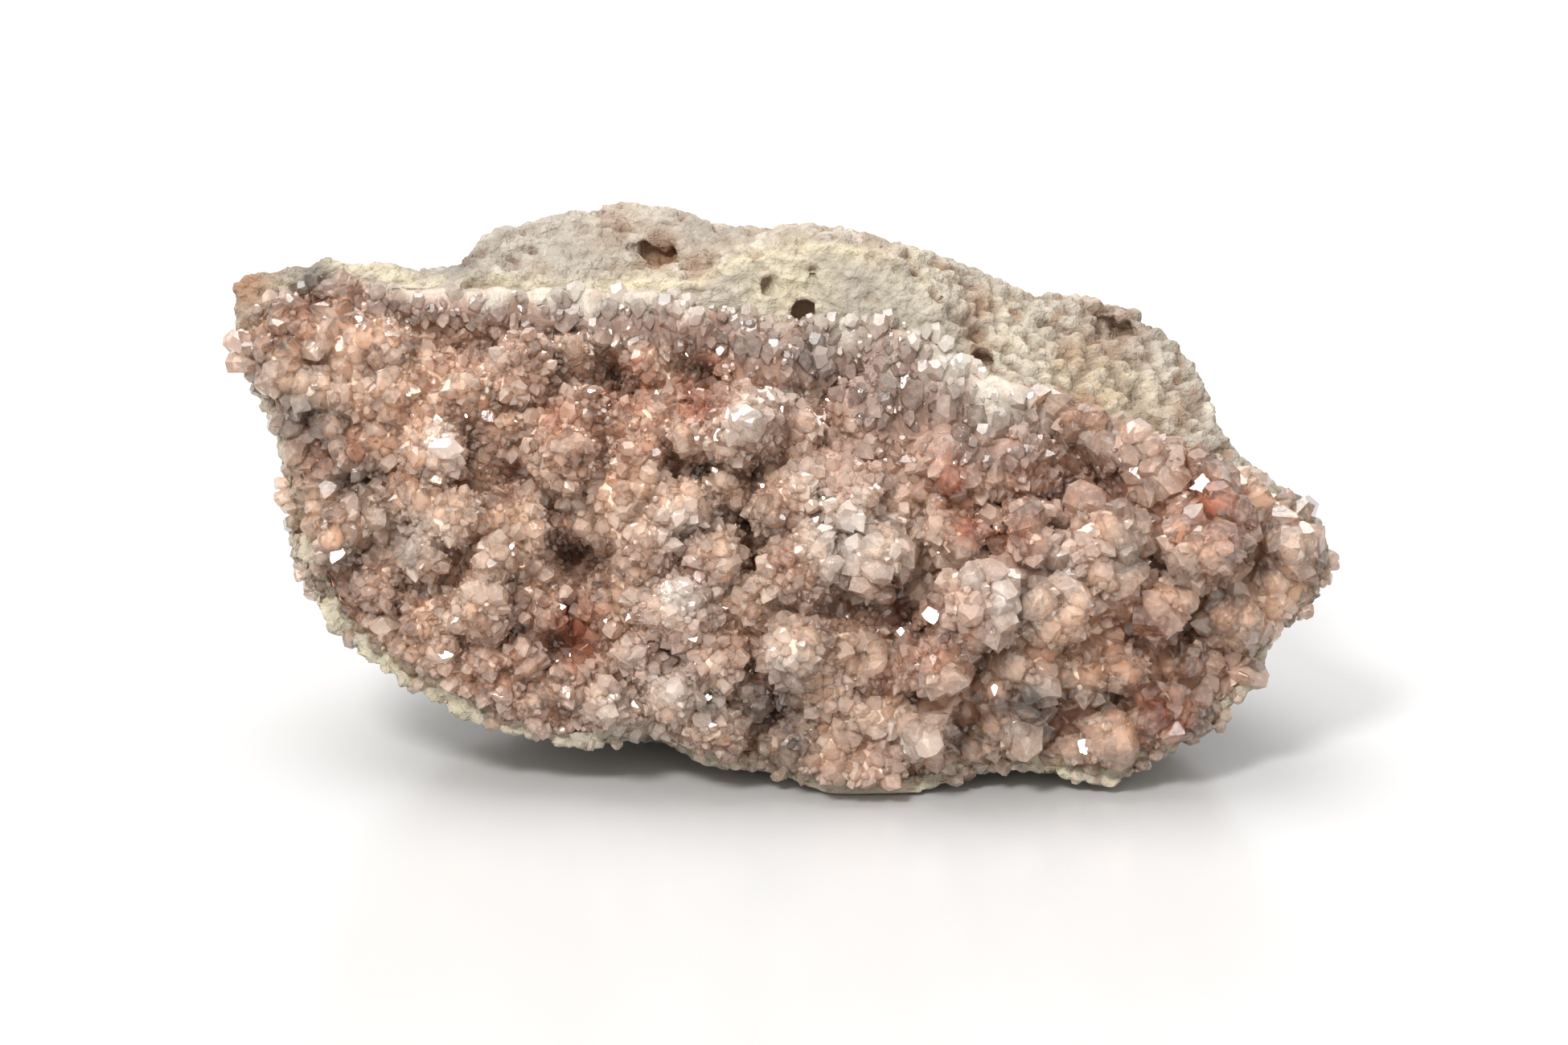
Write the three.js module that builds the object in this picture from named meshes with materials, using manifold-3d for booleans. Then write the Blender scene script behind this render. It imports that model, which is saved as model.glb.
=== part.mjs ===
// A druzy of pink amethyst: a piece broken out of the wall of a geode, 90 mm long.
// A rind of cream chalcedony and rock carries one crust of intergrown quartz crystals.
// Millimetres, +Z up, the crystals face -Y. The origin is under the middle of the whole, on the floor.
import * as THREE from "three";
import { ImprovedNoise } from "three/addons/math/ImprovedNoise.js";
import { mergeVertices } from "three/addons/utils/BufferGeometryUtils.js";
import Module from "manifold-3d";

const wasm = await Module();
wasm.setup();

// The stone is drawn as it is seen from a little above its front. A place on it has three numbers:
// across to the right, height up the picture from the lowest front edge, and nearness to the eye.
const EYE_ELEVATION = THREE.MathUtils.degToRad(18);
const GAP = 0.35; // between the rind and the crystal crust
const FACE_LEAN = 0.15; // how far the broken face falls back for each millimetre up the picture
const TOP_SLOPE = 1.25; // how far the rind falls back above its ridge
const BACK_NEARNESS = -34; // the furthest back that the rind bulges
const BACK_FULLNESS = 0.72; // 1 is an ellipse, less is boxier
const BACK_LUMPS = [{ rise: 2.4, size: 15 }, { rise: 2, size: 7 }];
const FRONT_LUMPS = { onTop: 1.1, onBreak: 0.3, size: 5 };
const UNDERSIDE_LUMPS = { rise: 1.6, size: 9 };
const MIDDLE = new THREE.Vector2(-0.4, 22); // what the outlines are drawn round
const FLAT_REACH = { left: -25, right: 29 }; // the underside lies flat between these
const UNDERSIDE_LIFT = 0.45; // rise of the underside for each millimetre beyond them
const UNDERSIDE_ROUNDING = 4; // how gently the lifted ends run into the sides
const WEAR = 0.35; // the turn over which the outline's points are worn down behind, in radians
const RIM_WIDTH = 1; // the least that the rind shows round the crust
const RIND_DETAIL = 15;
const CRUST_DETAIL = 11;
const CRUST_DEPTH = 8; // how deep the crystal crust is rooted in the rind
const CRUST_PROUD = 0.8; // how far its edge stands out of the rind
const CRUST_BULGE = 1.5; // how far its middle stands farther out than its edge
const CLUSTER_SPREAD = 1.35; // a cluster's foot against its radius
const FINE_GRAIN = 3.3; // between the crystals at the left end
const COARSE_GRAIN = 5; // and at the right end
const EDGE_GRAIN = 0.8; // how much finer they are along the edge
const CRYSTAL_WIDTH = [1.1, 1.6]; // least and most, against the spacing
const CRYSTAL_STAND = [0.45, 0.95]; // how far its tip stands out, against its width
const EDGE_STAND = 0.6; // the most along the edge
const WIDE_CRYSTAL = 4.6; // from here on a crystal shows all six end faces
const CRYSTAL_LIMIT = 0.955; // how far out crystals grow, 1 being the crust's edge
const CRYSTAL_ROOT = 2.5; // how deep a crystal is rooted in the crust
const EDGE_SPLAY = 0.4; // how far the crystals at the edge lean outwards
const CLUSTER_SPLAY = 0.6; // how far a crystal follows the slope that it stands on
const STRAY_LEAN = 0.3; // how far any crystal leans at random
const DOWNWARD_LEAN = 0.12; // the most that a crystal hangs down
const END_FACE_STEEPNESS = 0.9; // quartz's end faces against a cube's standing on its corner
const MINOR_FACE_SETBACK = 0.16; // how much farther out the three smaller end faces lie, in crystal widths
const TIP_SLIP = 0.16; // how far a tip may lie off the middle, in crystal widths
const ATTEMPTS = 6000;
const SEED = 11;

// The outline of the whole stone, clockwise from its left tip: across and height.
const SILHOUETTE = [
  [-45.1, 40.3], [-43.9, 42.1], [-41.7, 43.0], [-38.8, 43.3], [-36.2, 43.6], [-34.5, 44.2], [-32.5, 43.2],
  [-29.7, 42.0], [-27.0, 41.8], [-26.7, 42.6], [-24.4, 43.5], [-24.0, 45.0], [-22.2, 46.1], [-17.8, 47.2],
  [-14.5, 48.2], [-10.7, 48.3], [-7.5, 47.4], [-3.9, 46.1], [-0.7, 45.7], [2.5, 46.2], [7.4, 45.5],
  [11.5, 44.1], [15.1, 42.9], [18.3, 41.7], [20.1, 40.6], [23.5, 40.4], [27.0, 40.8], [29.9, 39.2],
  [32.5, 36.9], [34.6, 33.8], [35.4, 31.0], [35.9, 28.4], [38.5, 26.1], [41.4, 24.5], [43.5, 22.6],
  [44.8, 19.8], [44.9, 17.4], [42.7, 14.8], [40.1, 12.7], [39.2, 10.3], [37.4, 7.5], [35.1, 5.2],
  [31.2, 3.5], [28.6, 1.4], [26.1, 0.3], [23.2, 0.6], [20.6, 1.9], [18.0, 2.8], [15.1, 1.5],
  [11.9, 0.3], [8.0, 0.0], [3.8, 0.1], [1.5, 1.4], [-1.0, 2.2], [-4.3, 2.4], [-7.5, 3.5],
  [-10.6, 5.7], [-11.9, 5.0], [-13.9, 3.5], [-17.2, 4.1], [-21.7, 5.2], [-24.9, 6.2], [-27.2, 7.0],
  [-29.7, 9.0], [-33.3, 10.8], [-36.2, 13.9], [-37.7, 16.6], [-39.0, 19.2], [-39.5, 22.7], [-39.8, 25.9],
  [-40.2, 28.8], [-41.5, 31.9], [-43.5, 34.8], [-44.3, 37.2],
];

// The edge between the rind and the crystal crust, clockwise from the left tip.
const CRUST_EDGE = [
  [-44.8, 39.0], [-42.3, 40.0], [-39.7, 40.3], [-36.5, 41.3], [-34.2, 42.8], [-32.0, 41.9], [-29.4, 41.0],
  [-26.2, 40.6], [-17.2, 40.8], [-10.7, 40.6], [-7.5, 40.0], [-4.3, 38.1], [2.2, 37.7], [8.6, 37.7],
  [13.7, 36.6], [15.3, 34.2], [19.0, 33.0], [23.5, 31.9], [27.4, 29.8], [31.2, 28.6], [36.4, 26.6],
  [40.8, 24.1], [43.4, 21.7], [44.3, 19.5], [44.0, 17.4], [41.9, 14.8], [39.5, 12.9], [38.3, 10.3],
  [36.4, 7.7], [33.8, 5.6], [29.9, 4.1], [26.1, 3.0], [21.5, 3.4], [18.0, 3.9], [15.1, 3.0],
  [11.5, 1.7], [7.7, 1.2], [3.8, 1.5], [1.9, 2.6], [-1.0, 3.4], [-4.3, 3.6], [-7.2, 4.6],
  [-10.5, 6.7], [-12.3, 6.1], [-14.3, 4.8], [-17.2, 5.2], [-21.0, 6.4], [-24.3, 8.0], [-27.2, 9.5],
  [-30.1, 11.2], [-33.0, 13.0], [-35.2, 15.3], [-36.5, 17.9], [-37.4, 21.4], [-38.3, 25.3], [-39.1, 28.8],
  [-40.6, 31.7], [-42.6, 34.6], [-43.7, 36.9],
];

// The ridge along the top of the broken face, left to right. Above it the rind falls away backwards.
const RIDGE = [
  [-46.2, 40.0], [-43.0, 41.5], [-39.1, 42.3], [-34.5, 43.7], [-32.0, 42.7], [-29.4, 41.5], [-26.2, 41.2],
  [-17.2, 41.4], [-10.7, 41.4], [-7.5, 41.3], [-5.2, 42.5], [-2.6, 43.5], [2.2, 44.5], [8.6, 43.6],
  [11.9, 41.7], [14.5, 38.5], [17.0, 34.6], [21.5, 33.0], [27.4, 30.4], [31.2, 29.1], [36.4, 27.1],
  [40.9, 24.4], [46.1, 19.5],
];

// Clusters of crystals that stand out of the crust: across, height, radius, rise.
const CLUSTERS = [
  [-41.7, 37.8, 2.7, 2.0], [-37.4, 34.9, 3.9, 2.5], [-31.9, 36.8, 2.9, 1.5], [-30.0, 29.7, 3.9, 3.5],
  [-26.1, 28.5, 2.9, 2.5], [-20.3, 33.0, 3.9, 3.0], [-17.1, 28.1, 3.5, 4.5], [-12.9, 27.8, 3.5, 4.5],
  [-6.5, 30.4, 2.9, 3.0], [-1.7, 30.4, 3.2, 5.0], [0.9, 33.6, 2.3, 4.0], [5.4, 26.5, 4.2, 4.5],
  [10.6, 25.9, 3.9, 4.0], [14.4, 22.7, 2.9, 3.0], [5.4, 20.7, 4.5, 4.5], [-22.9, 22.0, 3.2, 3.5],
  [-21.0, 17.5, 3.5, 3.5], [-33.2, 19.4, 3.5, 2.5], [-28.7, 24.0, 3.2, 2.5], [-36.8, 27.8, 2.9, 2.0],
  [-27.1, 16.5, 2.3, 2.5], [-13.3, 20.1, 2.6, 3.0], [-8.4, 22.0, 3.2, 4.5], [-7.5, 16.2, 3.9, 4.5],
  [2.2, 12.4, 4.2, 4.0], [8.0, 14.9, 2.9, 3.0], [17.6, 16.2, 4.2, 5.0], [22.8, 19.4, 2.9, 4.0],
  [28.3, 18.2, 3.9, 4.5], [31.2, 24.0, 4.2, 4.0], [34.1, 16.9, 3.5, 3.0], [40.8, 19.4, 3.9, 2.5],
  [15.1, 11.1, 4.2, 3.5], [24.7, 12.4, 3.9, 3.0], [30.5, 6.6, 3.2, 3.0], [8.6, 5.9, 4.2, 3.0],
  [-6.8, 7.9, 3.9, 3.0], [-15.8, 9.1, 5.2, 1.5], [-23.6, 10.4, 4.5, 1.0], [21.5, 25.2, 2.6, 1.5],
  [30.5, 28.8, 3.2, 2.0], [37.0, 25.2, 2.9, 1.5], [9.9, 33.0, 4.5, 0.5], [35.7, 11.0, 2.6, 1.5],
];

// Hollows between the clusters: across, height, radius, depth.
const HOLLOWS = [
  [-12.3, 33.0, 2.0, 4.0], [-4.9, 33.9, 2.4, 4.0], [-20.3, 25.2, 2.2, 3.5], [-16.2, 18.8, 2.2, 4.0],
  [25.7, 25.2, 2.0, 3.5], [17.3, 24.6, 3.2, 3.5], [23.1, 16.2, 1.6, 2.5], [8.6, 9.1, 2.2, 3.0],
  [-1.7, 17.5, 2.2, 2.5], [-2.3, 9.1, 2.6, 2.0], [11.2, 16.9, 2.9, 3.0], [-34.5, 25.2, 2.0, 2.5],
  [-17.8, 13.7, 2.6, 2.0], [27.3, 8.5, 2.6, 2.0], [-25.0, 35.5, 3.0, 1.5], [-17.0, 36.5, 3.0, 2.0],
  [4.0, 32.0, 3.0, 2.5], [12.0, 29.5, 3.0, 2.5],
];

// Pits and cracks in the rind: across, height, radius across, radius up the picture, depth.
const PITS = [
  [1.9, 39.0, 0.8, 0.8, 1.5], [-0.4, 41.2, 0.8, 0.6, 1.0], [3.0, 41.6, 0.5, 0.8, 1.0],
  [16.5, 35.8, 0.7, 2.4, 1.6], [27.6, 37.9, 2.2, 1.4, 2.5], [-10.5, 44.2, 2.2, 0.7, 2.0],
];

const X_AXIS = new THREE.Vector3(1, 0, 0);
const Z_AXIS = new THREE.Vector3(0, 0, 1);
const CUBE_DIAGONAL = new THREE.Vector3(1, 1, 1).normalize();
const TOWARDS_EYE = new THREE.Vector3(0, -Math.cos(EYE_ELEVATION), Math.sin(EYE_ELEVATION));
const UP_PICTURE = new THREE.Vector3(0, Math.sin(EYE_ELEVATION), Math.cos(EYE_ELEVATION));
const { lerp, clamp, smoothstep } = THREE.MathUtils;
const noise = new ImprovedNoise();

// Fractal noise of about -1 to 1 at a point, with its coarsest lumps as far apart as size.
function roughness(point, size) {
  let sum = 0;
  let share = 0.6;
  for (let step = size; share > 0.1; step /= 2.1, share /= 2) {
    sum += share * noise.noise(point.x / step + size, point.y / step, point.z / step);
  }
  return sum;
}

// A stream of numbers from 0 to 1 that is the same each time.
function seededRandom(seed) {
  let state = seed;
  return () => {
    state = (state + 0x6d2b79f5) | 0;
    let mixed = Math.imul(state ^ (state >>> 15), 1 | state);
    mixed = (mixed + Math.imul(mixed ^ (mixed >>> 7), 61 | mixed)) ^ mixed;
    return ((mixed ^ (mixed >>> 14)) >>> 0) / 4294967296;
  };
}

function place(across, height, nearness) {
  return X_AXIS.clone()
    .multiplyScalar(across)
    .addScaledVector(UP_PICTURE, height)
    .addScaledVector(TOWARDS_EYE, nearness);
}

// The height of a line of points above a place across.
function heightOfLine(line, across) {
  const next = Math.max(1, line.findIndex(([x]) => x > across));
  const [[x0, h0], [x1, h1]] = [line[next - 1], line[next]];
  return lerp(h0, h1, clamp((across - x0) / (x1 - x0), 0, 1));
}

// How far an outline is from the middle in a direction.
function reach(outline, angle) {
  const along = new THREE.Vector2(Math.cos(angle), Math.sin(angle));
  let furthest = 0;
  outline.forEach(([x, h], i) => {
    const a = new THREE.Vector2(x, h).sub(MIDDLE);
    const side = new THREE.Vector2(...outline[(i + 1) % outline.length]).sub(MIDDLE).sub(a);
    const turn = along.cross(side);
    const share = a.cross(along) / turn;
    if (share >= 0 && share <= 1) furthest = Math.max(furthest, a.cross(side) / turn);
  });
  return furthest;
}

// How far the stone is from its middle behind the face, where the outline's points are worn down.
function wornReach(angle) {
  const turns = [-1, -0.6, -0.3, 0, 0.3, 0.6, 1].map((share) => share * WEAR);
  const sum = turns.reduce((total, turn) => total + reach(SILHOUETTE, angle + turn) ** -6, 0);
  return (sum / turns.length) ** (-1 / 6);
}

function crustReach(angle) {
  return Math.min(reach(CRUST_EDGE, angle), reach(SILHOUETTE, angle) - RIM_WIDTH);
}

// How far out in the crust a place is: 0 at the middle and 1 on its edge.
function shareOut(across, height) {
  const from = new THREE.Vector2(across, height).sub(MIDDLE);
  return from.length() / crustReach(from.angle());
}

function spot(angle, radius) {
  return [MIDDLE.x + radius * Math.cos(angle), MIDDLE.y + radius * Math.sin(angle)];
}

function faceNearness(height) {
  return -FACE_LEAN * height;
}

// The rind's front: the plane of the break, then the outside of the rind above the ridge.
function frontNearness(across, height) {
  const ridge = heightOfLine(RIDGE, across);
  return faceNearness(Math.min(height, ridge)) - TOP_SLOPE * Math.max(0, height - ridge);
}

// How far the crystal crust stands out of the break.
function relief(across, height) {
  const clusters = CLUSTERS.map(([x, h, radius, rise]) => {
    const distance = Math.hypot(across - x, height - h) / (CLUSTER_SPREAD * radius);
    return rise * Math.sqrt(Math.max(0, 1 - distance ** 2));
  });
  const hollows = HOLLOWS.map(
    ([x, h, radius, depth]) => depth * Math.exp(-((Math.hypot(across - x, height - h) / radius) ** 2)),
  );
  const out = Math.min(1, shareOut(across, height));
  const stand = CRUST_BULGE * (1 - out ** 2) + Math.max(...clusters) - Math.max(...hollows);
  return CRUST_PROUD + stand * (1 - out ** 6);
}

// A geometry with its shared corners made one, as a closed solid needs.
function solid(geometry) {
  geometry.deleteAttribute("normal");
  geometry.deleteAttribute("uv");
  const closed = mergeVertices(geometry, 1e-5);
  return new wasm.Manifold(
    new wasm.Mesh({
      numProp: 3,
      vertProperties: new Float32Array(closed.attributes.position.array),
      triVerts: new Uint32Array(closed.index.array),
    }),
  );
}

// A closed surface round the middle. front and back give the point for a direction in the picture,
// for how far out it is, from 0 at the middle to 1 at the edge, and for how far the edge is.
function shell(edgeReach, detail, front, back) {
  const ball = new THREE.OctahedronGeometry(1, detail);
  const position = ball.attributes.position;
  const from = new THREE.Vector3();
  for (let i = 0; i < position.count; i++) {
    from.fromBufferAttribute(position, i);
    const angle = Math.atan2(from.y, from.x);
    const out = Math.acos(clamp(Math.abs(from.z), 0, 1)) / (Math.PI / 2);
    const point = (from.z > -1e-6 ? front : back)(angle, out, edgeReach(angle));
    position.setXYZ(i, point.x, point.y, point.z);
  }
  return solid(ball);
}

// The whole stone without its crystals: the break in front, the outside of the rind behind.
function stone() {
  const front = (angle, out, edge) => {
    const [across, height] = spot(angle, out * edge);
    const point = place(across, height, frontNearness(across, height));
    const rise = height > heightOfLine(RIDGE, across) ? FRONT_LUMPS.onTop : FRONT_LUMPS.onBreak;
    const lump = rise * roughness(point, FRONT_LUMPS.size);
    return point.addScaledVector(TOWARDS_EYE, lump * (1 - out ** 8));
  };
  const back = (angle, out, edge) => {
    const round = Math.sin((out * Math.PI) / 2);
    const depth = Math.cos((out * Math.PI) / 2) ** BACK_FULLNESS;
    const width = lerp(edge, wornReach(angle), smoothstep(depth, 0, 0.45));
    const [across, height] = spot(angle, width * round ** 0.9);
    const rim = frontNearness(...spot(angle, edge));
    const point = place(across, height, lerp(rim, BACK_NEARNESS, depth));
    const outwards = point.clone().sub(place(MIDDLE.x, MIDDLE.y, BACK_NEARNESS / 2)).normalize();
    const lumps = BACK_LUMPS.reduce((sum, { rise, size }) => sum + rise * roughness(point, size), 0);
    point.addScaledVector(outwards, depth * lumps);
    const beyond = Math.max(FLAT_REACH.left - point.x, point.x - FLAT_REACH.right, 0);
    const hollow = UNDERSIDE_LUMPS.rise * roughness(point.clone().setZ(0), UNDERSIDE_LUMPS.size);
    const underside = UNDERSIDE_LIFT * beyond + Math.max(0, hollow);
    const rounding = Math.min(beyond / 2, UNDERSIDE_ROUNDING);
    point.z = (underside + point.z + Math.hypot(point.z - underside, rounding)) / 2;
    return point;
  };
  return shell((angle) => reach(SILHOUETTE, angle), RIND_DETAIL, front, back);
}

function pitShape([across, height, radiusAcross, radiusUp, depth]) {
  const pit = new THREE.IcosahedronGeometry(1, 1).scale(radiusAcross, radiusUp, depth);
  const turn = new THREE.Matrix4().makeBasis(X_AXIS, UP_PICTURE, TOWARDS_EYE);
  return solid(pit.applyMatrix4(turn.setPosition(place(across, height, frontNearness(across, height)))));
}

// The shape of the crust, grown by some margin, whose front stands out of the break by stand.
function crustShape(margin, stand) {
  const front = (angle, out, edge) => {
    const [across, height] = spot(angle, out * edge);
    return place(across, height, faceNearness(height) + stand(across, height, out));
  };
  const back = (angle, out, edge) => {
    const [across, height] = spot(angle, out * edge);
    const depth = (CRUST_DEPTH + margin) * Math.sqrt(1 - out ** 8);
    return place(across, height, faceNearness(height) + CRUST_PROUD - depth);
  };
  return shell((angle) => crustReach(angle) + margin, CRUST_DETAIL, front, back);
}

// Past every crystal in the middle, and down to the crust's edge along it.
function clearOfCrystals(across, height, out) {
  return CRUST_PROUD + 20 * (1 - out ** 8);
}

// One quartz crystal along +Z, its tip near the origin: a six-sided prism ended by a rhombohedron, which
// is nearly a cube standing on a corner. A wide crystal has a second, turned by 60 degrees and smaller.
function quartz(width, length, random) {
  const prism = new THREE.CylinderGeometry(width / 2, width / 2, length, 6);
  prism.rotateX(Math.PI / 2).translate(0, 0, -length / 2);
  const size = 2 * (length + width);
  const minor = MINOR_FACE_SETBACK * width * (0.5 + random());
  const ends = (width > WIDE_CRYSTAL ? [0, minor] : [0]).map((setback, i) => {
    const cube = new THREE.BoxGeometry(size, size, size).translate(-size / 2, -size / 2, -size / 2);
    cube.applyQuaternion(new THREE.Quaternion().setFromUnitVectors(CUBE_DIAGONAL, Z_AXIS));
    cube.rotateZ(Math.PI / 12 + (i * Math.PI) / 3).scale(1, 1, END_FACE_STEEPNESS);
    const [slipX, slipY] = [random() - 0.5, random() - 0.5];
    return solid(cube.translate(TIP_SLIP * width * slipX, TIP_SLIP * width * slipY, setback));
  });
  return ends.reduce((crystal, end) => crystal.intersect(end), solid(prism));
}

// The direction that a crystal at a place on the crust grows in.
function growthDirection(across, height) {
  const step = FINE_GRAIN / 3;
  const slopeAcross = (relief(across + step, height) - relief(across - step, height)) / (2 * step);
  const slopeUp = (relief(across, height + step) - relief(across, height - step)) / (2 * step) - FACE_LEAN;
  const outwards = new THREE.Vector2(across, height).sub(MIDDLE).normalize();
  const splay = EDGE_SPLAY * shareOut(across, height) ** 4;
  return TOWARDS_EYE.clone()
    .addScaledVector(X_AXIS, splay * outwards.x - CLUSTER_SPLAY * slopeAcross)
    .addScaledVector(UP_PICTURE, Math.max(splay * outwards.y - CLUSTER_SPLAY * slopeUp, -DOWNWARD_LEAN))
    .normalize();
}

// The crystal crust: its body and the crystals that stand on it, as one intergrown solid. A crystal at
// the edge is cut off by the rind beside it, and a space that crystals close off is filled.
function crystalCrust() {
  const random = seededRandom(SEED);
  const scatter = (furthest) => furthest * (2 * random() - 1);
  const roots = [];
  const room = crustShape(0, clearOfCrystals);
  let crust = crustShape(0, relief);
  for (let attempt = 0; attempt < ATTEMPTS; attempt++) {
    const [across, height] = [scatter(45), 22 + scatter(22)];
    const out = shareOut(across, height);
    const coarseness = lerp(FINE_GRAIN, COARSE_GRAIN, smoothstep(across, -35, 30));
    const edge = smoothstep(out, 0.75, 0.95);
    const grain = coarseness * lerp(1, EDGE_GRAIN, edge);
    const crowded = roots.some(([x, h]) => Math.hypot(x - across, h - height) < grain);
    if (crowded || out > CRYSTAL_LIMIT) continue;
    roots.push([across, height]);

    const width = grain * lerp(...CRYSTAL_WIDTH, random());
    const [leastStand, mostStand] = CRYSTAL_STAND;
    const stand = width * lerp(leastStand, lerp(mostStand, EDGE_STAND, edge), random());
    const lean = new THREE.Vector3(scatter(STRAY_LEAN), scatter(STRAY_LEAN), scatter(STRAY_LEAN));
    const direction = growthDirection(across, height).add(lean).normalize();
    const root = place(across, height, faceNearness(height) + relief(across, height));
    const tip = root.addScaledVector(direction, stand);
    const turn = new THREE.Quaternion().setFromUnitVectors(Z_AXIS, direction);
    const pose = new THREE.Matrix4().compose(tip, turn, new THREE.Vector3(1, 1, 1)).toArray();
    crust = crust.add(quartz(width, stand + CRYSTAL_ROOT, random).transform(pose).intersect(room));
  }
  return crust.decompose().reduce((a, b) => (a.volume() > b.volume() ? a : b));
}

function mesh(name, shape, colour, roughnessOfSurface) {
  const { vertProperties, triVerts } = shape.getMesh();
  const geometry = new THREE.BufferGeometry();
  geometry.setAttribute("position", new THREE.BufferAttribute(vertProperties, 3));
  geometry.setIndex(new THREE.BufferAttribute(triVerts, 1));
  const material = new THREE.MeshStandardMaterial({ color: colour, roughness: roughnessOfSurface });
  const made = new THREE.Mesh(geometry, material);
  made.name = name;
  return made;
}

const pitted = PITS.reduce((shape, pit) => shape.subtract(pitShape(pit)), stone());
const rind = pitted.subtract(crustShape(GAP, clearOfCrystals));
const crust = crystalCrust();

const druzy = new THREE.Group();
druzy.add(mesh("rind", rind, "#d8c9ae", 0.85));
druzy.add(mesh("crystal_crust", crust, "#e3bcae", 0.2));
const box = new THREE.Box3().setFromObject(druzy);
const centre = box.getCenter(new THREE.Vector3());
druzy.position.set(-centre.x, -centre.y, -box.min.z);

export default druzy;
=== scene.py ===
import math

import bpy
import numpy as np
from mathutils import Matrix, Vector, noise
from mathutils.bvhtree import BVHTree


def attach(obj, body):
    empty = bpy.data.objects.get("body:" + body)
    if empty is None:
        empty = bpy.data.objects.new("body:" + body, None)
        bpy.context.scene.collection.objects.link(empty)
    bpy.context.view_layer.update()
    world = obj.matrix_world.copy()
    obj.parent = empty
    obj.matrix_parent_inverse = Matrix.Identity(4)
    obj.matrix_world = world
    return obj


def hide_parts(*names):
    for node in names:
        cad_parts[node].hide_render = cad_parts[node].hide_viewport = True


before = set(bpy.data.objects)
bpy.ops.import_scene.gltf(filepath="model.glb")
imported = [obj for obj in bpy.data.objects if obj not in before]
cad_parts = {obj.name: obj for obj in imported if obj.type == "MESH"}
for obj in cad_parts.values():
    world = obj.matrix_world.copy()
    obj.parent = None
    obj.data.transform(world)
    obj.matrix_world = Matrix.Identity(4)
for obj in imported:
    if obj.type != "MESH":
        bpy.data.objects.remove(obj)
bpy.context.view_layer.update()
bpy.ops.object.select_all(action="DESELECT")

# The camera.
# It looks at the crystal face from 18 degrees above, through a long lens. A place in the picture has
# three numbers in millimetres, counted from PICTURE_FOOT: across, height up the picture, and nearness
# to the eye.
MM = 0.001
EYE_ELEVATION = math.radians(18)
PICTURE_FOOT = Vector((-0.373, -18.558, 0)) * MM
ACROSS = Vector((1, 0, 0))
UP_PICTURE = Vector((0, math.sin(EYE_ELEVATION), math.cos(EYE_ELEVATION)))
TOWARDS_EYE = Vector((0, -math.cos(EYE_ELEVATION), math.sin(EYE_ELEVATION)))
EYE_DISTANCE = 800 * MM
VIEW_WIDTH = 125.8 * MM
VIEW_CENTRE = (0.58, 22.06)


def picture_place(across, height, nearness=0.0):
    """The point at a place in the picture."""
    return PICTURE_FOOT + (ACROSS * across + UP_PICTURE * height + TOWARDS_EYE * nearness) * MM


bpy.ops.object.camera_add(
    location=picture_place(*VIEW_CENTRE) + TOWARDS_EYE * EYE_DISTANCE,
    rotation=(math.pi / 2 - EYE_ELEVATION, 0, 0),
)
camera = bpy.context.object
camera.name = "camera"
camera.data.lens = camera.data.sensor_width * EYE_DISTANCE / VIEW_WIDTH
camera.data.clip_start = 10 * MM
bpy.context.scene.camera = camera

# The rind.
# Cream chalcedony and rock that lined the hole in the lava. Outside it is knobbly and pitted where it
# lay against the lava, and its broken edge shows white and straw yellow round the crystals.
RIND_GRID = 0.36 * MM

# How far apart its knobs, grains, lumps, swells and pits are, in millimetres.
KNOB = 1.25
GRIT = 0.8
LUMP = 3.4
SWELL = 11.0
PIT = 2.0

# Behind the crust, where the crust is this near, only a share of the rind's faces is kept.
SEAT_REACH = 1.2 * MM
SEAT_FACES_KEPT = 0.06

# In millimetres: the width of the straw line on the broken edge, how deep the holes go, how far the
# dome's border wanders behind, and how far from the crust small crystals still grow on the rind.
EDGE_LINE = 0.6
HOLE_DEPTH = 1.3
BORDER_WARP = 11
RIM_REACH = 1.8

# The upper broken edge in the picture, as places across and high.
RIDGE = [
    (-46, 40.0), (-39, 42.3), (-34.5, 43.7), (-29.4, 41.5), (-17, 41.4), (-7.5, 41.3), (-2.6, 43.5),
    (2.2, 44.5), (8.6, 43.6), (11.9, 41.7), (14.5, 38.5), (17, 34.6), (27.4, 30.4), (40.9, 24.4),
    (46, 19.5),
]

# Spots in the picture: across, height, radius and strength.
STRAW_SPOTS = [
    (-33.5, 43.5, 2.6, 0.8), (-37.5, 20.5, 1.6, 0.9), (-36.5, 15.0, 2.2, 1.0), (-32.0, 11.0, 2.6, 1.0),
    (-26.5, 7.5, 2.2, 0.8), (-13.5, 4.5, 1.6, 0.5), (9.0, 1.0, 3.5, 0.7), (14.0, 2.2, 2.0, 0.6),
    (22.0, 2.0, 3.0, 0.8), (27.5, 2.5, 2.5, 0.9), (0.5, 41.0, 3.2, 0.8), (-10.0, 41.5, 2.0, 0.5),
    (24.0, 33.5, 3.0, 0.35), (19.0, 37.5, 3.0, 0.45), (11.0, 43.0, 3.0, 0.4), (29.0, 31.5, 3.0, 0.35),
]
BROWN_SPOTS = [
    (-43.0, 41.2, 2.6, 0.9), (-9.5, 44.2, 1.6, 0.9), (-13.0, 46.5, 2.0, 0.4), (-6.5, 43.0, 1.5, 0.5),
    (27.5, 38.0, 2.4, 0.6), (16.5, 36.2, 1.0, 0.6), (24.0, 36.0, 1.2, 0.4), (1.8, 39.0, 0.9, 0.5),
    (8.0, 44.5, 1.6, 0.3), (16.5, 39.8, 1.4, 0.7), (32.5, 31.0, 1.0, 0.5),
]
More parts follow.
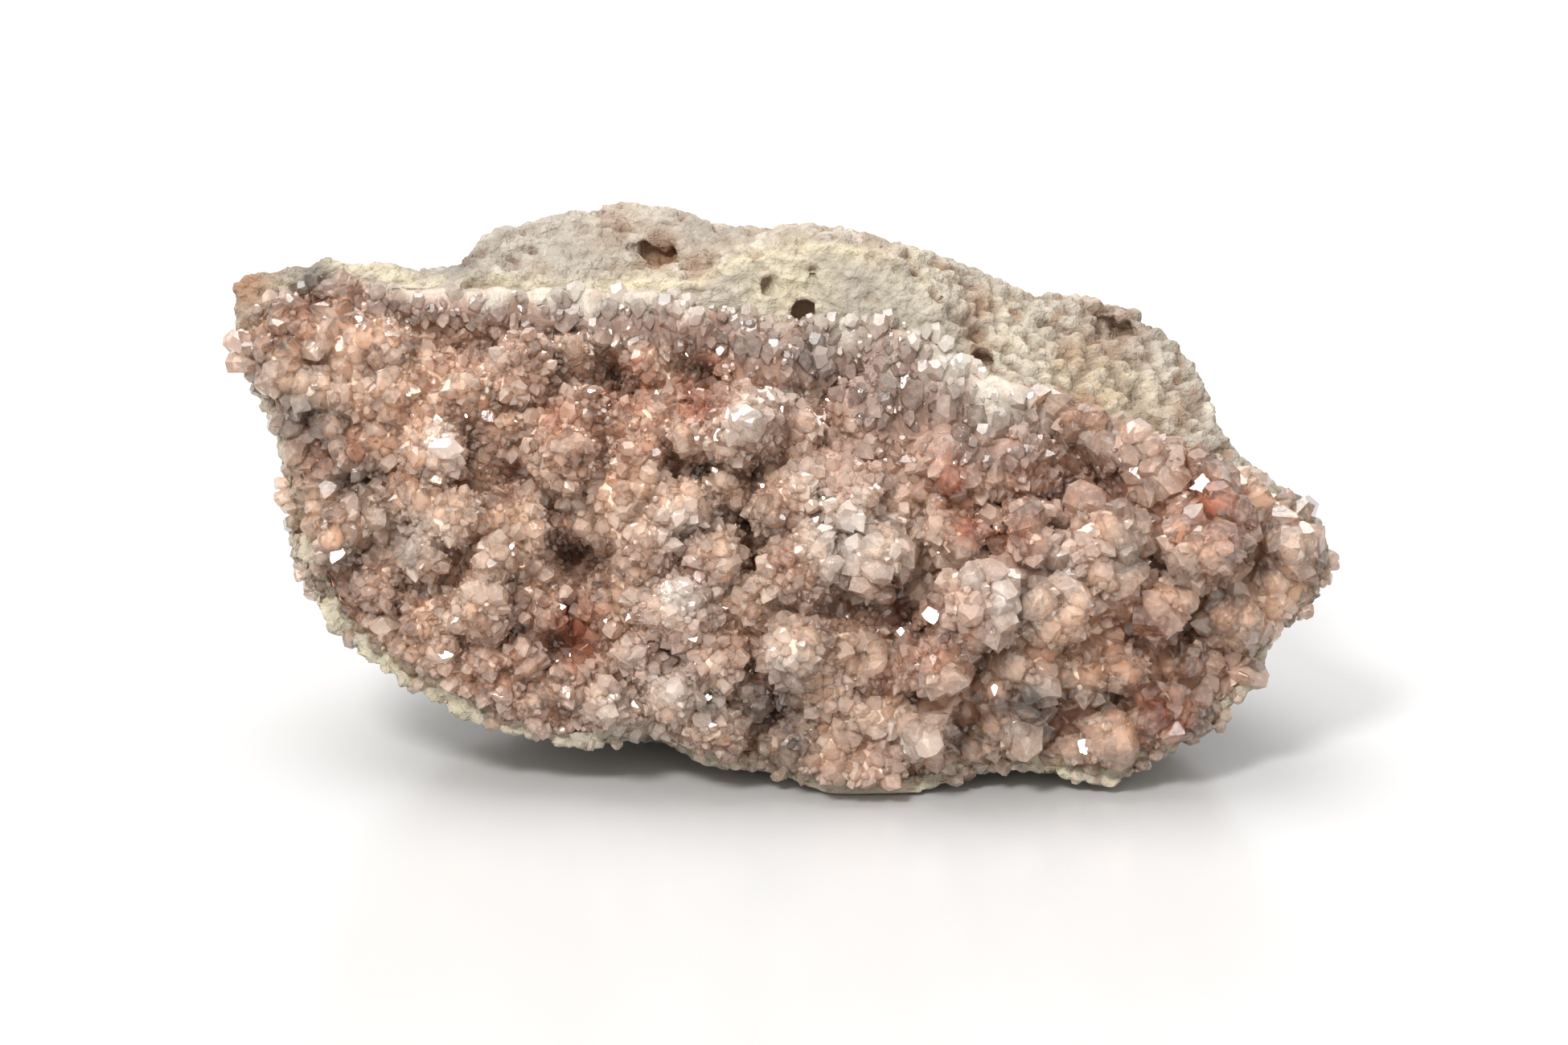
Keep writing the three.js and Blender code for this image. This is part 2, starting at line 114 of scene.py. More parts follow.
GREY_SPOTS = [
    (-38.0, 43.0, 2.4, 0.9), (-40.5, 42.4, 1.6, 0.6), (-25.6, 43.2, 1.6, 1.0), (-17.0, 43.5, 4.0, 0.4),
    (30.0, 39.0, 3.5, 0.4), (-7.0, 47.0, 3.0, 0.3), (33.0, 36.5, 2.0, 0.4), (3.4, 35.5, 1.4, 0.8),
]
WHITE_SPOTS = [
    (-22.0, 41.0, 9.0, 0.4), (2.0, 40.5, 8.0, 0.8), (11.0, 38.5, 5.0, 0.8), (18.0, 34.0, 3.5, 0.7),
]
HOLES = [
    (2.2, 39.2, 0.8, 1.0), (-0.6, 41.4, 0.6, 0.7), (2.8, 42.4, 0.5, 0.7), (7.4, 40.2, 1.1, 0.5),
    (16.4, 37.4, 0.8, 1.0), (16.9, 35.4, 0.8, 0.9), (-9.8, 44.3, 1.4, 0.8), (-7.2, 42.8, 0.7, 0.6),
]

# Where the steep frosted wall under the rind begins. Past its two ends there is none.
WALL_FOOT = [
    (-35, 60), (-33, 38.6), (-20, 37.8), (-9, 36.4), (-4, 34.0), (2, 33.6), (8.5, 28.2), (15, 25.8),
    (20.5, 25.6), (21.5, 60),
]


def select_only(piece):
    """Makes a piece the one that operators act on."""
    bpy.ops.object.select_all(action="DESELECT")
    piece.select_set(True)
    bpy.context.view_layer.objects.active = piece


def even_copy(name, solid, grid):
    """A copy of a solid with its loose triangles joined and remade as an even grid."""
    piece = bpy.data.objects.new(name, solid.data.copy())
    bpy.context.scene.collection.objects.link(piece)
    piece.data.materials.clear()
    select_only(piece)
    bpy.ops.object.mode_set(mode="EDIT")
    bpy.ops.mesh.select_all(action="SELECT")
    bpy.ops.mesh.remove_doubles(threshold=0.001 * MM)
    bpy.ops.object.mode_set(mode="OBJECT")
    remesh = piece.modifiers.new("even", "REMESH")
    remesh.voxel_size = grid
    bpy.ops.object.modifier_apply(modifier=remesh.name)
    return piece


def vertex_array(piece, what="co"):
    """The places or the normals of a piece's points, as rows."""
    values = np.empty(3 * len(piece.data.vertices), dtype=np.float32)
    piece.data.vertices.foreach_get(what, values)
    return values.reshape(-1, 3).astype(float)


def set_vertices(piece, points):
    """Moves a piece's points to new places."""
    piece.data.vertices.foreach_set("co", points.astype(np.float32).ravel())
    piece.data.update()


def set_attribute(piece, name, values):
    """Gives each point of a piece a number that its material reads."""
    attribute = piece.data.attributes.new(name, "FLOAT", "POINT")
    attribute.data.foreach_set("value", np.clip(values, 0, 1).astype(np.float32))


def in_picture(points):
    """Across, height and nearness of points, as rows."""
    return (points - np.array(PICTURE_FOOT)) @ np.array([ACROSS, UP_PICTURE, TOWARDS_EYE]).T / MM


def near_spots(places, spots):
    """How much each place lies in the spots: 1 at the middle of a full one and 0 far from all."""
    share = np.zeros(len(places))
    for across, height, radius, strength in spots:
        distance = np.hypot(places[:, 0] - across, places[:, 1] - height) / radius
        share = np.maximum(share, strength * np.exp(-(distance**2)))
    return share


def smooth_step(values, low, high):
    """0 up to the low value and 1 from the high one on, with a soft rise between them."""
    share = np.clip((values - low) / (high - low), 0, 1)
    return share * share * (3 - 2 * share)


def above_line(places, line):
    """How far each place is above a line of points in the picture."""
    across, height = np.array(line).T
    return places[:, 1] - np.interp(places[:, 0], across, height)


def lumpy(points, size, octaves=3):
    """Fractal noise of about -1 to 1 with its lumps a size in millimetres apart."""
    scaled = points / (size * MM)
    return np.array([noise.fractal(Vector(point), 1.0, 2.0, octaves) for point in scaled])


def between_knobs(points, size):
    """Round knobs side by side: 0 at a knob's middle and about 1 in the creases between knobs."""
    scaled = points / (size * MM)
    return np.array([noise.voronoi(Vector(point))[0][0] for point in scaled]) / 0.75


def solid_tree(points, faces):
    """What finds the nearest point of a shape, and what a straight line hits."""
    return BVHTree.FromPolygons([Vector(p) for p in points], [face.vertices for face in faces])


def linear_colour(code):
    """The linear colour of an sRGB hex code, as the shader sockets take it."""
    values = [int(code[i : i + 2], 16) / 255 for i in (1, 3, 5)]
    return [v / 12.92 if v <= 0.04045 else ((v + 0.055) / 1.055) ** 2.4 for v in values] + [1]


def new_material(name):
    """An empty material and its output node."""
    material = bpy.data.materials.new(name)
    material.use_nodes = True
    material.node_tree.nodes.clear()
    return material, material.node_tree.nodes.new("ShaderNodeOutputMaterial")


def add_node(material, kind, inputs, **settings):
    """Adds a node with its settings. An input is a value, or the output of an earlier node."""
    tree = material.node_tree
    made = tree.nodes.new(kind)
    for name, value in settings.items():
        setattr(made, name, value)
    for name, value in inputs.items():
        if isinstance(value, bpy.types.NodeSocket):
            tree.links.new(value, made.inputs[name])
        else:
            made.inputs[name].default_value = value
    return made


def attribute(material, name):
    """The number that a piece carries at each point under a name, as a node's output."""
    return add_node(material, "ShaderNodeAttribute", {}, attribute_name=name).outputs["Fac"]


def mix_colours(material, share, first, second):
    """One colour going over to another; each is a hex code or a node's output."""
    first, second = [linear_colour(c) if isinstance(c, str) else c for c in (first, second)]
    mix = add_node(material, "ShaderNodeMix", {}, data_type="RGBA")
    for socket, value in zip((mix.inputs[0], mix.inputs[6], mix.inputs[7]), (share, first, second)):
        if isinstance(value, bpy.types.NodeSocket):
            material.node_tree.links.new(value, socket)
        else:
            socket.default_value = value
    return mix.outputs[2]


def grain(material, size, low, high, detail=4.0):
    """A noise pattern with a grain of a size in millimetres, spread out between two levels."""
    place = add_node(material, "ShaderNodeTexCoord", {}).outputs["Object"]
    pattern = add_node(
        material, "ShaderNodeTexNoise", {"Vector": place, "Scale": 1 / (size * MM), "Detail": detail}
    )
    return add_node(
        material,
        "ShaderNodeMapRange",
        {"Value": pattern.outputs["Fac"], "From Min": low, "From Max": high},
    ).outputs["Result"]


rind = even_copy("rind_of_chalcedony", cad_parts["rind"], RIND_GRID)
crust_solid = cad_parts["crystal_crust"]
crust_tree = solid_tree(vertex_array(crust_solid), crust_solid.data.polygons)


def under_crust(point):
    """Whether the crust lies close to a point of the rind and hides it from the eye."""
    close = crust_tree.find_nearest(point)[3] < SEAT_REACH
    return close and crust_tree.ray_cast(point, TOWARDS_EYE)[0] is not None


rind.data.vertices.foreach_set("select", [under_crust(Vector(p)) for p in vertex_array(rind)])
bpy.ops.object.mode_set(mode="EDIT")
bpy.ops.mesh.decimate(ratio=SEAT_FACES_KEPT)
bpy.ops.object.mode_set(mode="OBJECT")

places, normals = vertex_array(rind), vertex_array(rind, "normal")
seen = in_picture(places)
to_crust = np.array([crust_tree.find_nearest(Vector(p))[3] for p in places]) / MM
over_ridge = above_line(seen, RIDGE)
facing = normals @ np.array(TOWARDS_EYE)

# Shares from 0 to 1: the broken face, what is off the floor, the front half and the knobbly dome.
broken = smooth_step(facing, 0.2, 0.6) * (1 - smooth_step(over_ridge, -0.6, 0.2))
broken *= smooth_step(seen[:, 2], -14, -10)
off_floor = smooth_step(places[:, 2] / MM, 0.1, 2.0)
front = smooth_step(seen[:, 2], -22, -12)
swells = lumpy(places, SWELL, 2)
dome = smooth_step(seen[:, 0] + BORDER_WARP * (1 - front) * swells, 12, 17)
knobs = between_knobs(places, KNOB)
grit = between_knobs(places, GRIT)
lumps = lumpy(places, LUMP)
pits = smooth_step(lumpy(places + 0.05, PIT, 2), 0.25, 0.55)

# Outside, the dome has round knobs and the rest has lumps, with grit and pits in both, and the back
# swells in and out. The broken face is lumpy and gritty, with knobs along its lower edge.
outside_rise = dome * (0.45 - 0.85 * knobs**2) + (1 - dome) * (0.25 + 0.5 * lumps - 0.25 * knobs**2)
outside_rise -= 0.35 * grit**2 * (1 - 0.5 * dome) + 0.8 * pits * (1 - 0.6 * dome)
outside_rise += (1 - front) * np.minimum(1.4 * swells, 0.35)
lower_edge = (1 - smooth_step(to_crust, 1.4, 2.8)) * smooth_step(-over_ridge, 8, 12)
holes = smooth_step(near_spots(seen + 0.5 * lumps[:, None], HOLES), 0.25, 0.8)
broken_rise = 0.4 * lumps - 0.5 * grit**2 + lower_edge * (0.3 + 0.4 * lumps - 0.6 * knobs**2)
rise = broken * broken_rise + (1 - broken) * outside_rise - HOLE_DEPTH * holes
places += normals * (rise * off_floor * smooth_step(to_crust, 0.3, 1.0) * MM)[:, None]
places[:, 2] = np.maximum(places[:, 2], 0)
set_vertices(rind, places)

# What the material reads. The patches of colour are only on the side that the picture shows.
edge_line = np.exp(-((over_ridge / EDGE_LINE) ** 2)) * smooth_step(-seen[:, 0], -12, -8)
edge_line *= smooth_step(facing, 0, 0.3)
straw = np.maximum(near_spots(seen, STRAW_SPOTS), np.maximum(edge_line, 0.5 * lower_edge))
set_attribute(rind, "straw", front * straw)
brown = np.maximum(near_spots(seen, BROWN_SPOTS), 0.6 * holes)
set_attribute(rind, "brown", front * np.maximum(brown, 0.5 * pits * (1 - broken)))
set_attribute(rind, "grey", front * near_spots(seen, GREY_SPOTS))
set_attribute(rind, "white", front * np.maximum(near_spots(seen, WHITE_SPOTS) * broken, 0.7 * broken))
# Painted shade: the creases between knobs and the pits are marked to be painted darker.
crease = np.maximum(smooth_step(knobs, 0.55, 1.0) * (0.5 + 0.5 * dome), 0.8 * pits)
set_attribute(rind, "crease", crease * (1 - broken))
bpy.ops.object.shade_smooth()

# Where small crystals cover the rim: close to the crust, in sight, and clear of the straw edge.
overgrown = (to_crust < RIM_REACH) & (facing > 0.1) & (over_ridge < -0.8) & (straw + 0.5 * lumps < 0.45)
overgrown &= above_line(seen, WALL_FOOT) < 0.5

# Weathered chalcedony: dull and chalky, cream with straw, grey and white patches, and painted shade that
# darkens the creases and pits.
chalcedony, output = new_material("weathered_chalcedony")
colour = mix_colours(chalcedony, grain(chalcedony, 6, 0.42, 0.6), "#B2A899", "#978D7F")
colour = mix_colours(chalcedony, grain(chalcedony, 11, 0.5, 0.66), colour, "#A48E72")
colour = mix_colours(chalcedony, grain(chalcedony, 1.4, 0.5, 0.72), colour, "#CBC2B2")
colour = mix_colours(chalcedony, grain(chalcedony, 0.7, 0.55, 0.8), colour, "#857869")
# Painted shade in the creases and pits.
colour = mix_colours(chalcedony, attribute(chalcedony, "crease"), colour, "#7E6D5C")
colour = mix_colours(chalcedony, attribute(chalcedony, "white"), colour, "#A69D8D")
mottle = grain(chalcedony, 1.8, 0.3, 0.6)
straw_share = add_node(
    chalcedony, "ShaderNodeMath", {0: attribute(chalcedony, "straw"), 1: mottle}, operation="MULTIPLY"
)
colour = mix_colours(chalcedony, straw_share.outputs[0], colour, "#CCC1A4")
colour = mix_colours(chalcedony, attribute(chalcedony, "grey"), colour, "#766E65")
colour = mix_colours(chalcedony, attribute(chalcedony, "brown"), colour, "#8F6648")
rough_share = add_node(
    chalcedony,
    "ShaderNodeMapRange",
    {"Value": attribute(chalcedony, "white"), "To Min": 0.9, "To Max": 0.7},
)
bump = add_node(
    chalcedony,
    "ShaderNodeBump",
    {
        "Height": grain(chalcedony, 0.6, 0.3, 0.7),
        "Distance": 0.35 * MM,
        "Strength": rough_share.outputs["Result"],
    },
)
stone = add_node(
    chalcedony,
    "ShaderNodeBsdfPrincipled",
    {"Base Color": colour, "Roughness": 0.72, "IOR": 1.53, "Normal": bump.outputs["Normal"]},
)
chalcedony.node_tree.links.new(stone.outputs[0], output.inputs["Surface"])
rind.data.materials.append(chalcedony)
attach(rind, "root")
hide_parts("rind")

# The foot of the crystal crust.
# Milky pink quartz grown on the rind, in rounded clusters with hollows between them. Rust settled in
# the hollows, and the crystals' roots are lost in it. The hollows are also painted darker, as painted
# shade.
QUARTZ_IOR = 1.544
FOOT_GRID = 0.5 * MM

# The passes that take the edges off the solid, and those that leave only its large form.
EDGE_PASSES = 6
FORM_PASSES = 110

# In millimetres: how far it swells all over and on the wall, how far apart the bunches of crystals are,
# and how deep the creases between them. Then by how much the solid's own relief is raised, and the most.
FOOT_SWELL = 0.1
WALL_SWELL = 0.25
BUNCH = 5.4
BUNCH_CREASE = 1.5
RELIEF_GAIN = 0.9
MOST_SWELL = 0.25

# Cavities between the bunches: across, height, radius and depth.
CAVITIES = [
    (-12.3, 33.0, 1.8, 2.5), (-5.0, 33.8, 2.4, 2.5), (-21.0, 25.9, 1.4, 2.0), (-16.4, 19.5, 1.6, 3.0),
    (-17.6, 22.5, 1.4, 2.5), (26.5, 25.3, 1.6, 2.5), (22.8, 16.6, 1.2, 2.0), (8.6, 9.2, 1.6, 2.0),
    (18.0, 22.8, 2.0, 2.0), (-2.3, 25.9, 1.3, 2.0), (9.0, 17.5, 1.5, 1.5), (22.0, 24.6, 3.0, 2.8),
    (10.2, 14.5, 1.8, 2.5), (33.0, 13.0, 1.4, 1.5), (27.5, 8.0, 1.4, 1.5),
]

# Spots of colour, and spots that stay almost bare: across, height, radius and strength.
RUST_SPOTS = [
    (-16.5, 13.0, 2.4, 1.0), (18.0, 21.3, 2.0, 1.0), (15.5, 22.0, 1.5, 0.9), (-6.0, 32.4, 1.8, 1.0),
    (34.0, 24.0, 2.8, 0.6), (31.0, 7.2, 2.2, 0.8), (13.8, 25.3, 1.8, 0.7), (-17.5, 31.0, 1.4, 0.5),
    (20.0, 19.5, 1.4, 0.7), (36.5, 21.0, 1.6, 0.5), (-22.0, 10.5, 3.0, 0.3), (11.5, 11.5, 2.5, 0.4),
    (29.5, 13.0, 3.0, 0.4), (-12.0, 33.0, 2.0, 0.8), (26.5, 25.3, 1.8, 0.8), (-6.5, 12.0, 3.0, 0.2),
]
SMOKE_SPOTS = [
    (-37.8, 41.5, 2.2, 0.9), (-38.0, 30.5, 2.2, 0.7), (-34.0, 25.3, 2.2, 0.8), (-35.0, 17.6, 2.2, 0.6),
    (-0.4, 7.2, 2.4, 1.0), (1.2, 4.6, 1.8, 0.9), (20.3, 7.2, 2.4, 0.8), (3.2, 35.3, 1.6, 0.7),
    (35.7, 27.5, 1.4, 0.7), (14.5, 4.7, 1.4, 0.6), (-5.5, 7.5, 1.6, 0.6), (34.0, 9.5, 1.8, 0.5),
    (-32.0, 20.8, 2.5, 0.4), (-17.5, 36.0, 2.0, 0.3), (-3.0, 35.6, 2.0, 0.3), (40.5, 21.0, 3.5, 0.2),
    (-41.0, 36.0, 4.0, 0.2), (27.0, 25.0, 2.5, 0.5),
]
SMOOTH_SPOTS = [(10.5, 29.8, 2.4, 1.0), (14.5, 28.2, 2.8, 1.0), (18.3, 27.4, 2.0, 1.0)]
MILK_SPOTS = [
    (5.5, 26.0, 3.6, 0.8), (5.5, 20.8, 4.0, 0.8), (-7.5, 21.0, 2.6, 0.7), (-7.5, 16.2, 3.0, 0.8),
    (17.6, 16.8, 3.6, 0.9), (-1.5, 31.0, 3.0, 0.6), (-9.0, 10.0, 3.4, 0.7), (-13.0, 5.5, 4.0, 0.5),
    (23.0, 19.5, 2.4, 0.6), (28.0, 29.0, 2.5, 0.5), (-27.0, 28.5, 2.0, 0.5), (-22.5, 36.5, 2.0, 0.5),
    (-29.0, 20.5, 2.6, 0.5), (1.0, 11.0, 2.4, 0.5), (27.7, 19.5, 2.6, 0.5), (10.0, 4.5, 2.6, 0.5),
]
PEACH_SPOTS = [
    (-29.5, 30.0, 4.5, 0.8), (-15.5, 28.0, 5.0, 0.8), (15.5, 12.0, 4.5, 0.7), (30.5, 16.5, 5.0, 0.5),
    (33.5, 22.5, 4.0, 0.8), (-22.0, 30.0, 4.0, 0.5), (2.0, 28.5, 5.0, 0.5), (-6.0, 22.0, 5.0, 0.4),
    (12.0, 24.0, 4.0, 0.6),
]


def rounded(piece, passes):
    """Wears a piece down with smoothing passes, and gives its points."""
    wear = piece.modifiers.new("wear", "SMOOTH")
    wear.factor = 0.5
    wear.iterations = passes
    select_only(piece)
    bpy.ops.object.modifier_apply(modifier=wear.name)
    return vertex_array(piece)


foot = even_copy("crust_foot", crust_solid, FOOT_GRID)
places = rounded(foot, EDGE_PASSES)
worn = bpy.data.objects.new("worn_foot", foot.data.copy())
bpy.context.scene.collection.objects.link(worn)
relief = (places - rounded(worn, FORM_PASSES)) @ np.array(TOWARDS_EYE) / MM
bpy.data.objects.remove(worn)
select_only(foot)
seen = in_picture(places)
normals = vertex_array(foot, "normal")
facing = smooth_step(normals @ np.array(TOWARDS_EYE), 0, 0.4)
cavity = sum(
    depth * np.exp(-(np.hypot(seen[:, 0] - across, seen[:, 1] - height) / radius) ** 2)
    for across, height, radius, depth in CAVITIES
)
crease = smooth_step(between_knobs(places, BUNCH), 0.5, 1.05)
sink = cavity - np.minimum(RELIEF_GAIN * relief, MOST_SWELL) + BUNCH_CREASE * crease

# The wall is flat, with fine upright fibres.
wall = smooth_step(above_line(seen, WALL_FOOT), -0.6, 0.8)
fibres = lumpy(seen * (1, 0.12, 0.5) * MM, 1.3, 2)
sink = (1 - wall) * sink + wall * (relief + 0.2 * cavity - 0.3 * fibres)
places -= np.array(TOWARDS_EYE) * (sink * facing * MM)[:, None]
places += normals * (FOOT_SWELL + WALL_SWELL * wall + 0.3 * lumpy(places, 1.7, 2))[:, None] * MM
places[:, 2] = np.maximum(places[:, 2], 0.4 * MM)
set_vertices(foot, places)
# Rust and painted shade: sunken places, creases between bunches and cavities are marked to be painted
# darker and redder.
hollow = np.maximum(0.8 * smooth_step(-relief, -0.5, 1.6), 0.75 * crease) * (1 - 0.7 * wall)
hollow = np.maximum(smooth_step(cavity, 0.3, 1.8), hollow)


def tints(points):
    """How rusty, smoky, milky, peach and frosted the quartz is at points, and what is wall, by name."""
    seen_places = in_picture(points)
    mottle = 0.5 + 0.5 * lumpy(points, 6, 2)
    over_foot = above_line(seen_places, WALL_FOOT)
    up_wall = over_foot / (over_foot - above_line(seen_places, RIDGE))
    on_wall = smooth_step(over_foot, -0.6, 0.8)
    frost = smooth_step(up_wall + 0.3 * lumpy(seen_places * (1, 0.3, 0) * MM, 2, 2), 0.3, 0.75)
    return {
        "rust": near_spots(seen_places, RUST_SPOTS),
        "smoke": near_spots(seen_places, SMOKE_SPOTS),
        "milk": near_spots(seen_places, MILK_SPOTS) * (0.7 + 0.5 * mottle),
        "peach": np.maximum(near_spots(seen_places, PEACH_SPOTS), 0.5 * mottle),
        "wall": on_wall,
        "frost": on_wall * frost,
    }


foot_tints = tints(places)
for name, values in foot_tints.items():
    set_attribute(foot, name, values)
set_attribute(foot, "hollow", hollow)
bpy.ops.object.shade_smooth()


def quartz_colour(material, pink, **colours):
    """The colour of the quartz at each point, from the tints that the piece carries."""
    colour = pink
    for name, tint in colours.items():
        colour = mix_colours(material, attribute(material, name), colour, tint)
    return colour


# Milky quartz: light soaks in and comes out soft, darker and redder in the hollows from rust and painted
# shade.
milky, output = new_material("milky_pink_quartz")
colour = quartz_colour(
    milky,
    "#F3DCC6",
    peach="#F5CFAF",
    milk="#ECE2D5",
    wall="#866B5C",
    frost="#B2A899",
    rust="#B05A33",
    smoke="#665C54",
    hollow="#B78870",
)
streaks = add_node(
    milky,
    "ShaderNodeBump",
    {"Height": grain(milky, 0.8, 0.3, 0.7), "Distance": 0.12 * MM, "Strength": attribute(milky, "wall")},
)
quartz_body = add_node(
    milky,
    "ShaderNodeBsdfPrincipled",
    {
        "Base Color": colour,
        "Roughness": 0.35,
        "IOR": QUARTZ_IOR,
        "Subsurface Weight": 0.25,
        "Subsurface Scale": 0.6 * MM,
        "Normal": streaks.outputs["Normal"],
    },
)
milky.node_tree.links.new(quartz_body.outputs[0], output.inputs["Surface"])
foot.data.materials.append(milky)
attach(foot, "root")
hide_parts("crystal_crust")

# The crystals.
# Stubby quartz prisms with six-sided points, half clear and pale pink. They stand side by side on the
# bunches, finer on the left and up to four millimetres wide on the right. On the wall they point down
# and out, and single larger ones stand where the picture shows them.
KINDS = 10
CANDIDATES = 120000
MOST_IN_A_MESH = 5200

# The tilt of the faces of a crystal's point, and the level that the corners of its root lie below.
FACE_TILT = math.radians(51.8)
ROOT_LEVEL = -0.95

# Widths in millimetres, least and most, on the left, on the right and on the rind's rim.
FINE_WIDTH = (0.6, 2.0)
COARSE_WIDTH = (0.9, 3.8)
RIM_CRYSTALS = (0.8, 1.7)

# The share of the wall that crystals cover, how far under the rind's edge they stop, how far from its
# place each may move, and how far it may stand out, in millimetres.
WALL_SHARE = 0.3
EDGE_GAP = 1.3
SCATTER = 0.2
MOST_STAND = 1.4

# Against a crystal's width: the room round it, how far it stands out, how deep it is rooted, and how
# high it keeps above the floor.
ROOM = 0.265
STAND = (0.3, 0.7)
ROOT = 0.8
SINGLE_ROOT = 0.7
FLOOR_GAP = 0.7

# How much crystals turn to the eye, how much those on the wall point down, and how unevenly all lean.
TURN_TO_EYE = 0.2
SINGLE_TURN = 0.8
DROOP = 0.8
UNEVEN = 0.3

# How clear the crystals are: fine ones, what wide ones have beyond that, single ones and combs.
CLEARNESS = 0.8
WIDE_CLEARER = 0.08
SINGLE_CLEARNESS = 0.88
COMB_CLEARNESS = 0.85
UNEVEN_CLEARNESS = 0.12

# Rays that look for the stone start this far in front of it, in millimetres.
IN_FRONT = 60

# Single crystals: across, height, width and how far they stand out.
SINGLE_CRYSTALS = [
    (12.2, 15.8, 3.0, 1.6), (28.0, 17.5, 4.6, 2.2), (17.7, 15.6, 3.2, 1.6), (22.8, 19.5, 4.4, 1.8),
    (31.2, 25.0, 4.2, 1.8), (9.9, 22.1, 2.8, 1.2), (8.0, 15.6, 3.8, 1.5), (36.4, 14.3, 4.2, 1.4),
    (30.6, 6.6, 3.6, 1.4), (41.2, 23.4, 2.8, 0.8), (-2.3, 29.8, 3.2, 1.8), (-0.8, 31.7, 2.6, 1.4),
    (-4.0, 29.0, 2.4, 1.4), (-6.7, 15.8, 2.6, 1.4), (-22.3, 23.4, 3.0, 1.6), (-24.3, 16.3, 3.2, 1.4),
    (-27.5, 17.2, 2.6, 1.2), (27.7, 19.8, 3.2, 1.8), (10.6, 12.4, 3.6, 1.6), (1.5, 9.8, 3.0, 1.4),
    (14.5, 10.0, 3.4, 1.4), (20.5, 13.5, 3.2, 1.4), (33.5, 17.5, 3.8, 1.6), (25.0, 11.5, 3.4, 1.4),
    (37.5, 19.5, 3.4, 1.2), (26.9, 27.0, 3.0, 1.6), (19.8, 17.6, 2.8, 1.5), (15.6, 17.5, 2.8, 1.4),
    (-32.5, 34.0, 2.4, 1.0), (-36.0, 28.5, 2.6, 1.0), (-31.5, 26.5, 2.4, 1.0), (-12.0, 23.0, 2.6, 1.2),
]

# Rows of hanging crystals: the line of their roots, widths, lengths, spacing, and the lean to the eye.
COMBS = [
    ([(-33, 38.9), (-24, 38.4), (-12, 37.4), (-6, 36.0)], (0.7, 1.5), (1.0, 1.8), 0.9, 0.7),
    ([(-17, 39.6), (-13, 39.6)], (2.4, 3.0), (2.6, 3.4), 4.0, 0.5),
    ([(4, 34.6), (8.5, 33.4), (19, 30.6)], (1.4, 2.6), (2.0, 3.2), 2.4, 0.6),
    ([(21, 32.0), (30, 28.8), (40, 24.4)], (1.6, 3.2), (2.5, 4.2), 2.2, 0.5),
]
rng = np.random.default_rng(7)


def quartz_kind():
    """The corners and triangles of one crystal, 1 wide, its point at the origin and its root down."""
    bpy.ops.mesh.primitive_cylinder_add(vertices=6, radius=0.5, depth=2, location=(0, 0, 0))
    crystal = bpy.context.object
    bpy.ops.object.mode_set(mode="EDIT")
    for side in range(6):
        azimuth = math.radians(60 * side + 30)
        setback = rng.uniform(0, 0.05) if side % 2 == 0 else rng.uniform(0.01, 0.15)
        normal = Vector((math.cos(azimuth), math.sin(azimuth), 0)) * math.sin(FACE_TILT)
        normal.z = math.cos(FACE_TILT)
        bpy.ops.mesh.select_all(action="SELECT")
        bpy.ops.mesh.bisect(plane_co=normal * setback, plane_no=normal, use_fill=True, clear_outer=True)
    bpy.ops.mesh.select_all(action="SELECT")
    bpy.ops.transform.resize(value=(1, rng.uniform(0.72, 1.0), 1))
    bpy.ops.mesh.quads_convert_to_tris()
    bpy.ops.object.mode_set(mode="OBJECT")
    corners = vertex_array(crystal)
    corners[:, 2] -= corners[:, 2].max()
    triangles = np.array([face.vertices for face in crystal.data.polygons])
    bpy.data.objects.remove(crystal)
    return corners, triangles


def joined_crystals(name, kinds, tips, axes, widths, lengths, extra):
    """One mesh of many crystals, each a copy of one of the kinds turned along its axis."""
    chosen = rng.integers(len(kinds), size=len(tips))
    spins = rng.uniform(0, 2 * math.pi, size=len(tips))
    points, faces, owners = [], [], []
    start = 0
    for kind, (corners, triangles) in enumerate(kinds):
        which = np.flatnonzero(chosen == kind)
        along = axes[which]
        beside = np.cross(along, (0.3, 0.2, 0.93))
        beside /= np.linalg.norm(beside, axis=1)[:, None]
        third = np.cross(along, beside)
        turn, lean = np.cos(spins[which])[:, None], np.sin(spins[which])[:, None]
        first, second = beside * turn + third * lean, third * turn - beside * lean
        local = corners[None] * widths[which][:, None, None]
        root = corners[:, 2] < ROOT_LEVEL
        local[:, root, 2] = -lengths[which][:, None]
        placed = local[..., 0:1] * first[:, None] + local[..., 1:2] * second[:, None]
        placed += local[..., 2:3] * along[:, None] + tips[which][:, None]
        points.append(placed.reshape(-1, 3))
        shift = start + len(corners) * np.arange(len(which))
        faces.append((triangles[None] + shift[:, None, None]).reshape(-1, 3))
        owners.append(np.repeat(which, len(corners)))
        start += len(corners) * len(which)
    points, faces, owners = np.concatenate(points), np.concatenate(faces), np.concatenate(owners)
    mesh = bpy.data.meshes.new(name)
    mesh.from_pydata(points, [], faces)
    piece = bpy.data.objects.new(name, mesh)
    bpy.context.scene.collection.objects.link(piece)
    for label, values in tints(points).items():
        set_attribute(piece, label, values)
    for label, values in extra.items():
        set_attribute(piece, label, values[owners])
    return piece


